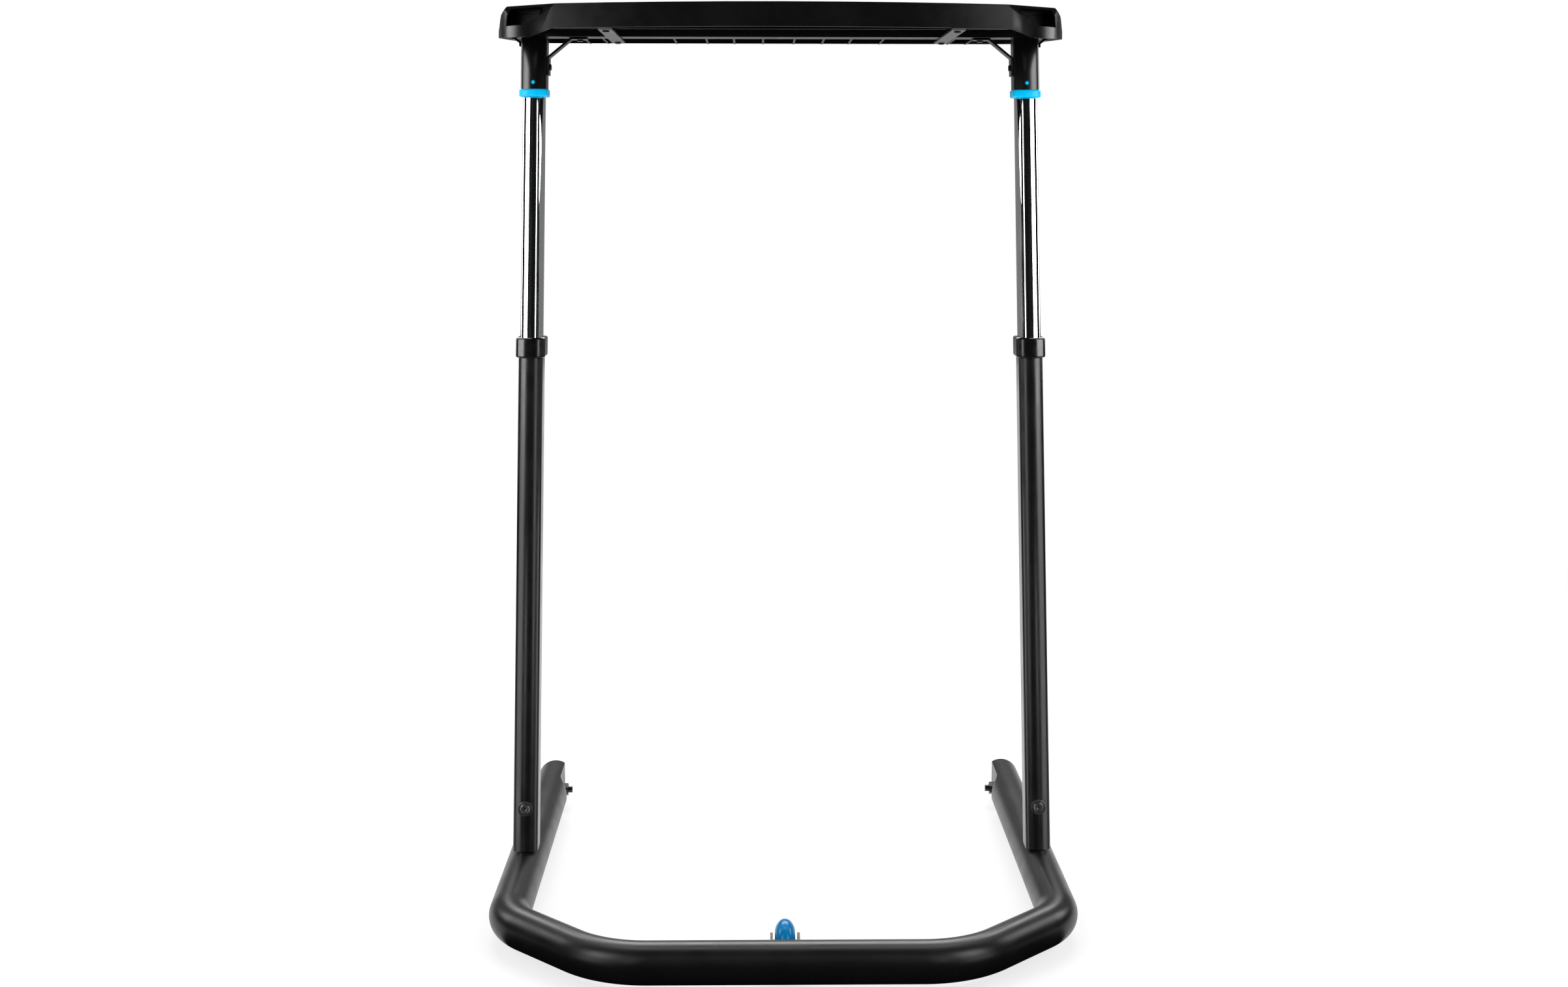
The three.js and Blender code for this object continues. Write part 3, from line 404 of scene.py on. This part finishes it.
def centre_line():
    """Points and headings of the right half of the U, from the middle of the front run."""
    corners = [Vector((0, 0)), Vector((FRONT_HALF, 0)),
               Vector((SIDE_X, SIDE_X - FRONT_HALF)), Vector((SIDE_X + SIDE_TOE, SIDE_END))]
    stations = []
    for i, radius in enumerate(BEND_RADII, 1):
        into = (corners[i] - corners[i - 1]).normalized()
        out = (corners[i + 1] - corners[i]).normalized()
        before = math.atan2(into.y, into.x)
        turn = math.atan2(out.y, out.x) - before
        start = corners[i] - into * radius * math.tan(turn / 2)
        for k in range(BEND_STEPS + 1):
            heading = before + turn * k / BEND_STEPS
            x = start.x + radius * (math.sin(heading) - math.sin(before))
            y = start.y - radius * (math.cos(heading) - math.cos(before))
            stations.append((x, y, heading))
    bend_x, bend_y, heading = stations[-1]
    for k in range(FLAT_STEPS + 1):
        y = SIDE_END - FLAT_RUN * (1 - k / FLAT_STEPS)
        x = bend_x + (corners[-1].x - bend_x) * (y - bend_y) / (SIDE_END - bend_y)
        stations.append((x, y, heading))
    return stations


def whole_u():
    """The right half and its mirror image, from the left rear end to the right one."""
    right = centre_line()
    return [(-x, y, -heading) for x, y, heading in reversed(right)] + right


def swept_tube(stations, radius, inset=0):
    """A round tube along the stations, with the pressed flats on the inner side of its rear ends."""
    bm = bmesh.new()
    rings = []
    front = tube_front_y()
    for x, y, heading in stations:
        ring = []
        ease = min(max((y - SIDE_END + FLAT_LENGTH) / (FLAT_LENGTH - FLAT_FULL), 0), 1)
        depth = FLAT_DEPTH * ease * ease * (3 - 2 * ease)
        wall = SIDE_X + SIDE_TOE - TUBE_R + depth + inset
        for k in range(TUBE_SIDES):
            angle = 2 * math.pi * k / TUBE_SIDES
            px = x + radius * math.cos(angle) * math.sin(heading)
            py = y - radius * math.cos(angle) * math.cos(heading)
            if depth > 0 and abs(px) < wall:
                px = math.copysign(wall, x)
            ring.append(bm.verts.new((px, py + front, TUBE_Z + radius * math.sin(angle))))
        rings.append(ring)
    for one, two in zip(rings, rings[1:]):
        for k in range(TUBE_SIDES):
            n = (k + 1) % TUBE_SIDES
            bm.faces.new((one[k], two[k], two[n], one[n]))
    bm.faces.new(rings[0])
    bm.faces.new(list(reversed(rings[-1])))
    bmesh.ops.recalc_face_normals(bm, faces=bm.faces)
    return mesh_from(bm, "base_tube")


def box_mesh(low, high):
    """A block between two corners."""
    bm = bmesh.new()
    bmesh.ops.create_cube(bm, size=1)
    placing = Matrix.Translation((low + high) / 2) @ Matrix.Diagonal((*(high - low), 1))
    bmesh.ops.transform(bm, matrix=placing, verts=bm.verts)
    return mesh_from(bm, "cutter")


def carve(obj, meshes):
    """Cut closed meshes out of a piece."""
    for mesh in meshes:
        cutter = placed("cutter", mesh)
        boolean = obj.modifiers.new("cut", "BOOLEAN")
        boolean.object = cutter
        boolean.operation = "DIFFERENCE"
        boolean.solver = "EXACT"
        apply_modifiers(obj)
        bpy.data.objects.remove(cutter)


def build_base():
    """The swept tube, hollow where the rear wheels turn and slotted below them."""
    stations = whole_u()
    obj = piece("base_tube", swept_tube(stations, TUBE_R), "base_frame")
    well_front, well_back = SIDE_END - FLAT_FULL - CAP_DEPTH, SIDE_END - CAP_DEPTH
    cutters = []
    for side, sign in SIDES:
        well = [at for at in stations if at[0] * sign > 0 and well_front < at[1] < well_back]
        cutters.append(swept_tube(well, TUBE_R - TUBE_WALL, TUBE_WALL))
        low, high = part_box(f"{side}_rear_tyre")
        top = Vector((high.x, high.y, SLOT_TOP))
        cutters.append(box_mesh(low - SLOT_ROOM - SLOT_DOWN, top + SLOT_ROOM))
    carve(obj, cutters)
    soften(obj, PART_EDGE, smooth=BASE_CURVE)


# Leg pieces: level flat-oval sections carried up the leaning leg
LEG_BOW, LEG_FILLET = 5 * MM, 3 * MM
FILLET_STEPS, BOW_STEPS, ROUND_STEPS = 8, 16, 5
LEG_WALL, CHROME_WALL, SLEEVE_WALL = 1.5 * MM, 1.8 * MM, 2.85 * MM
COLLAR_OVER, COLLAR_LIP, COLLAR_ROUND = 3.4 * MM, 4 * MM, 2.6 * MM
RING_OVER, RING_LIP, RING_ROUND = 1.8 * MM, 3 * MM, 2.2 * MM
FIT, COLLAR_GAP, RING_GAP = 0.1 * MM, 0.6 * MM, 0.3 * MM
BOLT_HOLE_R, BUTTON_HOLE_R, HOLE_SIDES = 4.25 * MM, 3.5 * MM, 48
travel = next(j for j in frame["record"]["behaviour"]["joints"] if j["name"] == "desk_height")["axis"]
SLOPE = travel[1] / travel[2]


def flat_oval(width, depth):
    """Points of one section: flat sides, bowed front and back, small fillets."""
    half, flat = width / 2, depth / 2 - LEG_BOW
    radius = (half ** 2 + LEG_BOW ** 2) / (2 * LEG_BOW)
    spread = math.asin((half - LEG_FILLET) / radius)
    foot = Vector((half, flat - LEG_FILLET))
    corner = Vector((half, flat))
    head = Vector((radius * math.sin(spread), depth / 2 - radius + radius * math.cos(spread)))
    quarter = []
    for k in range(FILLET_STEPS + 1):
        t = k / FILLET_STEPS
        quarter.append(foot * (1 - t) ** 2 + corner * 2 * t * (1 - t) + head * t ** 2)
    for k in range(1, BOW_STEPS + 1):
        angle = spread * (1 - k / BOW_STEPS)
        quarter.append(Vector((radius * math.sin(angle), depth / 2 - radius + radius * math.cos(angle))))
    back = quarter + [Vector((-p.x, p.y)) for p in reversed(quarter[:-1])]
    return back + [-p for p in back]


def leg_middle(side, z):
    """The leg's centre line at a height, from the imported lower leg."""
    low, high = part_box(f"{side}_lower_leg")
    depth = high.y - low.y - SLOPE * (high.z - low.z)
    return Vector(((low.x + high.x) / 2, low.y + depth / 2 + SLOPE * (z - low.z), z))


def leg_size(side, node="lower_leg"):
    """Width and level depth of one of the leg's tubes."""
    low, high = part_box(f"{side}_{node}")
    return high.x - low.x, high.y - low.y - SLOPE * (high.z - low.z)


def close_rings(bm, rings):
    """Join each ring of vertices to the next one, and the last one to the first."""
    count = len(rings[0])
    for one, two in zip(rings, rings[1:] + rings[:1]):
        for k in range(count):
            n = (k + 1) % count
            bm.faces.new((one[k], one[n], two[n], two[k]))


def carried_up(name, side, layers):
    """A closed tube through (width, depth, height) layers, up the outside and down the inside."""
    bm = bmesh.new()
    rings = []
    for width, depth, z in layers:
        middle = leg_middle(side, z)
        rings.append([bm.verts.new(middle + Vector((p.x, p.y, 0))) for p in flat_oval(width, depth)])
    close_rings(bm, rings)
    bmesh.ops.recalc_face_normals(bm, faces=bm.faces)
    return mesh_from(bm, name)


def rounded_band(width, depth, low, high, radius):
    """Outer layers of a band whose upper and lower edges are rounded."""
    turns = [math.pi / 2 * k / ROUND_STEPS for k in range(ROUND_STEPS + 1)]
    ends = [(radius * (1 - math.sin(a)), radius * (1 - math.cos(a))) for a in turns]
    lower = [(width - 2 * inset, depth - 2 * inset, low + rise) for inset, rise in ends]
    upper = [(width - 2 * inset, depth - 2 * inset, high - rise) for inset, rise in reversed(ends)]
    return lower + upper


def cross_hole(side, z, radius, reach):
    """A round cutter square to the leg's front."""
    bm = bmesh.new()
    bmesh.ops.create_cone(
        bm, segments=HOLE_SIDES, radius1=radius, radius2=radius, depth=reach, cap_ends=True)
    lean = math.atan(SLOPE)
    turn = Matrix.Rotation(math.pi / 2 - lean, 4, "X")
    placing = Matrix.Translation(leg_middle(side, z)) @ turn @ Matrix.Translation((0, 0, reach / 2))
    bmesh.ops.transform(bm, matrix=placing, verts=bm.verts)
    return mesh_from(bm, "cross_hole")


def middle_of(node):
    low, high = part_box(node)
    return (low + high) / 2


def axis_height(side, node):
    """Height at which a piece square to the leg meets the leg's centre line."""
    at = middle_of(node)
    off = leg_middle(side, at.z).y - at.y
    return at.z - off * SLOPE / (1 + SLOPE ** 2)


def build_leg(side):
    """The two tubes, the sleeve, the collar and the ring of one leg."""
    width, depth = leg_size(side)
    chrome_w, chrome_d = leg_size(side, "chrome_tube")
    sleeve_w, sleeve_d = leg_size(side, "upper_sleeve")
    button_z = axis_height(side, f"{side}_snap_button")
    bolt_z = axis_height(side, f"{side}_leg_bolt")

    def tube(node, w, d, wall):
        low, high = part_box(f"{side}_{node}")
        inner = (w - 2 * wall, d - 2 * wall)
        layers = [(w, d, low.z), (w, d, high.z), (*inner, high.z), (*inner, low.z)]
        return piece(f"{side}_{node}_swept", carried_up(node, side, layers), f"{side}_{node}")

    leg = tube("lower_leg", width, depth, LEG_WALL)
    carve(leg, [cross_hole(side, bolt_z, BOLT_HOLE_R, depth)])
    soften(leg, LEG_EDGE)
    chrome_tube = tube("chrome_tube", chrome_w, chrome_d, CHROME_WALL)
    sleeve = tube("upper_sleeve", sleeve_w, sleeve_d, SLEEVE_WALL)
    for obj in (chrome_tube, sleeve):
        carve(obj, [cross_hole(side, button_z, BUTTON_HOLE_R, sleeve_d)])
        soften(obj, HOLED_TUBE_EDGE)

    low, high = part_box(f"{side}_leg_collar")
    w, d = width + 2 * COLLAR_OVER, depth + 2 * COLLAR_OVER
    lip = high.z - COLLAR_LIP
    bore = (chrome_w + COLLAR_GAP, chrome_d + COLLAR_GAP)
    seat = (width + FIT, depth + FIT)
    layers = rounded_band(w, d, low.z, high.z, COLLAR_ROUND)
    layers += [(*bore, high.z), (*bore, lip), (*seat, lip), (*seat, low.z)]
    band = carried_up("leg_collar", side, layers)
    soften(piece(f"{side}_leg_collar_moulded", band, f"{side}_leg_collar"), COLLAR_EDGE)

    low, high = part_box(f"{side}_blue_ring")
    w, d = sleeve_w + 2 * RING_OVER, sleeve_d + 2 * RING_OVER
    lip = low.z + RING_LIP
    bore = (chrome_w + RING_GAP, chrome_d + RING_GAP)
    seat = (sleeve_w + FIT, sleeve_d + FIT)
    layers = rounded_band(w, d, low.z, high.z, RING_ROUND)
    layers += [(*seat, high.z), (*seat, lip), (*bore, lip), (*bore, low.z)]
    band = carried_up("blue_ring", side, layers)
    soften(piece(f"{side}_blue_ring_moulded", band, f"{side}_blue_ring"), RING_EDGE)


# Wheels, turned smooth
TURNED_SIDES = 72
REAR_CORE, REAR_BORE = 14 * MM, 5.25 * MM
FRONT_CORE, FRONT_BORE = 16 * MM, 3.25 * MM
TYRE_STEPS, CROWN_DROP, PARTING_LINE = 36, 3 * MM, 0.12 * MM
HUB_FIT, HUB_WEB_IN, BOSS_WALL, BOSS_TAPER = 0.05 * MM, 2.2 * MM, 3.5 * MM, 0.6 * MM
HUB_RIM_WALL, HUB_RIM_IN = 2 * MM, 1 * MM


def turned(name, profile, middle):
    """Revolve a closed (radius, height) profile about the level axis across the desk through a point."""
    bm = bmesh.new()
    rings = []
    for k in range(TURNED_SIDES):
        angle = 2 * math.pi * k / TURNED_SIDES
        ring = []
        for radius, height in profile:
            around = Vector((height, radius * math.cos(angle), radius * math.sin(angle)))
            ring.append(bm.verts.new(middle + around))
        rings.append(ring)
    close_rings(bm, rings)
    bmesh.ops.remove_doubles(bm, verts=bm.verts, dist=FINE_WELD)
    bmesh.ops.dissolve_degenerate(bm, edges=bm.edges, dist=FINE_WELD)
    bmesh.ops.recalc_face_normals(bm, faces=bm.faces)
    return mesh_from(bm, name)


def tyre_profile(radius, half, core):
    """A tall elliptical crown cut off at the core, with a fine parting line at the middle."""
    waist = core - CROWN_DROP
    foot = math.acos((core - waist) / (radius - waist))
    points = []
    for k in range(TYRE_STEPS + 1):
        angle = foot * (2 * k / TYRE_STEPS - 1)
        groove = PARTING_LINE if k == TYRE_STEPS // 2 else 0
        crown = waist + (radius - waist) * math.cos(angle) - groove
        points.append((crown, half * math.sin(angle) / math.sin(foot)))
    return points


def hub_profile(core, half, bore):
    """A boss and a rim with a thinner web between them, the same on both sides."""
    web, boss = half - HUB_WEB_IN, bore + BOSS_WALL
    one_side = [(bore, -half), (boss, -half), (boss + BOSS_TAPER, -web),
                (core - HUB_RIM_WALL, -web), (core, -half + HUB_RIM_IN)]
    return one_side + [(radius, -height) for radius, height in reversed(one_side)]


def build_wheel(prefix, core, bore):
    """The tyre and the hub of one wheel."""
    middle = middle_of(f"{prefix}_tyre")
    low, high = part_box(f"{prefix}_tyre")
    mesh = turned("tyre", tyre_profile((high.y - low.y) / 2, (high.x - low.x) / 2, core), middle)
    soften(piece(f"{prefix}_tyre_cast", mesh, f"{prefix}_tyre"), TYRE_EDGE)
    low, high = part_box(f"{prefix}_hub")
    mesh = turned("hub", hub_profile(core - HUB_FIT, (high.x - low.x) / 2, bore), middle)
    soften(piece(f"{prefix}_hub_moulded", mesh, f"{prefix}_hub"), HUB_EDGE)


# All pieces: the nodes built anew above, and every other node dressed as it is
build_base()
for side_name, _ in SIDES:
    build_leg(side_name)
    build_wheel(f"{side_name}_rear", REAR_CORE, REAR_BORE)
build_wheel("front", FRONT_CORE, FRONT_BORE)
BUILT = ("base_frame", "lower_leg", "chrome_tube", "upper_sleeve", "leg_collar", "blue_ring", "tyre", "hub")
FASTENERS = ("bolt", "nut", "washer", "screw", "button", "spacer")
for node_name in frame["nodes"]:
    if not node_name.endswith(BUILT):
        bevel = FASTENER_EDGE if any(word in node_name for word in FASTENERS) else PART_EDGE
        dress(node_name, bevel)


# Studio
FLOOR_HALF, FLOOR_TONE = 40, 0.86
NEAR_GLOW, NEAR, FAR = 0.72, 0.9, 2.8
WORLD_LIGHT = 0.28


def seen_directly(tree):
    """1 for camera, glossy and transmission rays, 0 for the light that falls on the object."""
    path = tree.nodes.new("ShaderNodeLightPath")
    total = path.outputs["Is Camera Ray"]
    for name in ("Is Glossy Ray", "Is Transmission Ray"):
        both = tree.nodes.new("ShaderNodeMath")
        both.operation = "MAXIMUM"
        tree.links.new(total, both.inputs[0])
        tree.links.new(path.outputs[name], both.inputs[1])
        total = both.outputs[0]
    return total


def add_floor():
    """A white sheet: it keeps the object's soft shadow near it and is plain white further out."""
    bm = bmesh.new()
    bmesh.ops.create_grid(bm, x_segments=1, y_segments=1, size=FLOOR_HALF)
    floor = placed("floor", mesh_from(bm, "floor"))
    f = Finish("floor", (FLOOR_TONE,) * 3, Roughness=0.9, Specular_IOR_Level=0.1)
    away = f.add("ShaderNodeVectorMath", {0: f.place}, operation="LENGTH").outputs["Value"]
    glow = f.spread(away, NEAR_GLOW, 1, NEAR, FAR)
    share = f.add("ShaderNodeMath", {0: glow, 1: seen_directly(f.tree)}, operation="MULTIPLY")
    pale = f.add("ShaderNodeEmission", {"Color": (1, 1, 1, 1)}).outputs[0]
    f.show(share.outputs[0], f.shader.outputs[0], pale)
    floor.data.materials.append(f.material)


def add_world():
    """Plain white where it is seen, and a dimmer white light on the object."""
    world = bpy.data.worlds.new("studio")
    bpy.context.scene.world = world
    world.use_nodes = True
    tree = world.node_tree
    tree.nodes.clear()
    seen, light = (tree.nodes.new("ShaderNodeBackground") for _ in range(2))
    mix, out = tree.nodes.new("ShaderNodeMixShader"), tree.nodes.new("ShaderNodeOutputWorld")
    seen.inputs["Strength"].default_value = 1
    light.inputs["Strength"].default_value = WORLD_LIGHT
    for node in (seen, light):
        node.inputs["Color"].default_value = (1, 1, 1, 1)
    tree.links.new(seen_directly(tree), mix.inputs["Fac"])
    tree.links.new(light.outputs[0], mix.inputs[1])
    tree.links.new(seen.outputs[0], mix.inputs[2])
    tree.links.new(mix.outputs[0], out.inputs["Surface"])


def add_softbox(name, at, aim, size, watts):
    """A rectangular lamp of a width and a height, turned toward a point."""
    data = bpy.data.lights.new(name, "AREA")
    data.shape = "RECTANGLE"
    data.size, data.size_y = size
    data.energy = watts
    facing = (Vector(aim) - Vector(at)).to_track_quat("-Z", "Y").to_matrix().to_4x4()
    placed(name, data).matrix_world = Matrix.Translation(at) @ facing


def add_flag(name, across, along, height, tone, fade=None):
    """A cloth that only reflections see, flat in the direction whose two ends are equal.

    With a fade, surfaces closer to it than these two lengths see it only faintly.
    """
    ends = {(x, y, z) for x in across for y in along for z in height}
    first, second, third, fourth = sorted(ends)
    bm = bmesh.new()
    bm.faces.new([bm.verts.new(corner) for corner in (first, second, fourth, third)])
    flag = placed(name, mesh_from(bm, name))
    f = Finish(name, (0, 0, 0), Roughness=1, Specular_IOR_Level=0)
    f.shader.inputs["Emission Color"].default_value = (tone, tone, tone, 1)
    f.shader.inputs["Emission Strength"].default_value = 1
    if fade:
        away = f.add("ShaderNodeLightPath").outputs["Ray Length"]
        clear = f.add("ShaderNodeBsdfTransparent", {"Color": (1, 1, 1, 1)}).outputs[0]
        f.show(f.spread(away, 0, 1, *fade), clear, f.shader.outputs[0])
    flag.data.materials.append(f.material)
    flag.visible_camera = flag.visible_diffuse = flag.visible_shadow = False


def both_sides(name, across, *rest):
    for side, sign in SIDES:
        add_flag(f"{name}_{side}", [sign * x for x in across], *rest)


# Cloths: black in front of, over and beside the object, grey behind it, narrow ones near the legs
SET_HALF, SET_FRONT, SET_BACK, SET_LOW, SET_TOP = 4.4, -4.6, 0.25, 0.02, 5.2
CLOTH_EDGE, CLOTH_Z = -0.3, 0.004
BLACK, GREY = 0.008, 0.2
GREY_LOW, GREY_BACK = 0.3, 4.0
STRIP_X, STRIP_Y, STRIP_Z = (0.38, 0.72), -1.0, (0.7, 2.2)
MIDDLE_FRONT, MIDDLE_TURN, MIDDLE_BACK, MIDDLE_Z = -0.44, -0.2, 3.0, (0.6, 1.1)
LEG_FADE = (0.1, 0.3)


def add_flags():
    width, depth, height = (-SET_HALF, SET_HALF), (SET_FRONT, SET_BACK), (SET_LOW, SET_TOP)
    add_flag("flag_front", width, (SET_FRONT, SET_FRONT), height, BLACK)
    add_flag("flag_over", width, depth, (SET_TOP, SET_TOP), BLACK)
    add_flag("flag_floor", width, (SET_FRONT, CLOTH_EDGE), (CLOTH_Z, CLOTH_Z), BLACK)
    both_sides("flag_side", (SET_HALF, SET_HALF), (SET_FRONT, GREY_BACK), height, BLACK)
    add_flag("flag_behind", width, (GREY_BACK, GREY_BACK), (GREY_LOW, SET_TOP), GREY)
    both_sides("flag_strip", STRIP_X, (STRIP_Y, STRIP_Y), STRIP_Z, BLACK)
    add_flag("flag_middle_dark", (0, 0), (MIDDLE_FRONT, MIDDLE_TURN), MIDDLE_Z, BLACK, LEG_FADE)
    add_flag("flag_middle_grey", (0, 0), (MIDDLE_TURN, MIDDLE_BACK), MIDDLE_Z, GREY, LEG_FADE)


# Each leg's lamps: degrees outward from straight ahead, distance, height, aim, size and watts.
# The broad and the low one light its outer side, the narrow one its inner side.
LEG_SPOT, RIM_SPOT = Vector((0.336, 0.1, 0.87)), Vector((0.35, 0.05, 1.1))
LEG_LAMPS = {
    "broad": (44, 2.6, 2.06, LEG_SPOT, (1.2, 1.3), 34),
    "rim": (106, 2.2, 1.5, RIM_SPOT, (1.0, 1.0), 20),
    "narrow": (-25.7, 3, 1.9, LEG_SPOT, (0.3, 2.2), 7.5),
    "low": (44, 2.6, 0.72, LEG_SPOT, (1.2, 1.1), 9),
}
# The two lamps over the middle: place, aim, size and watts
MIDDLE_LAMPS = {
    "behind": ((0, 2.3, 2.4), (0, -0.4, 0), (3.2, 1.3), 120),
    "overhead": ((0, 0.6, 3.4), (0, 0, 0.5), (2.5, 1.5), 36),
}


def from_leg(sign, azimuth, distance, z):
    """A place seen from a leg at an angle outward from straight ahead."""
    angle = math.radians(azimuth)
    x, y = LEG_SPOT.x + distance * math.sin(angle), LEG_SPOT.y - distance * math.cos(angle)
    return Vector((sign * x, y, z))


add_camera()
add_floor()
add_world()
for _, sign in SIDES:
    for lamp, (azimuth, distance, z, spot, size, watts) in LEG_LAMPS.items():
        aim = (sign * spot.x, spot.y, spot.z)
        add_softbox(f"{lamp}_{sign}", from_leg(sign, azimuth, distance, z), aim, size, watts)
for lamp, (at, aim, size, watts) in MIDDLE_LAMPS.items():
    add_softbox(lamp, at, aim, size, watts)
add_flags()

scene = bpy.context.scene
scene.view_settings.view_transform = "Standard"
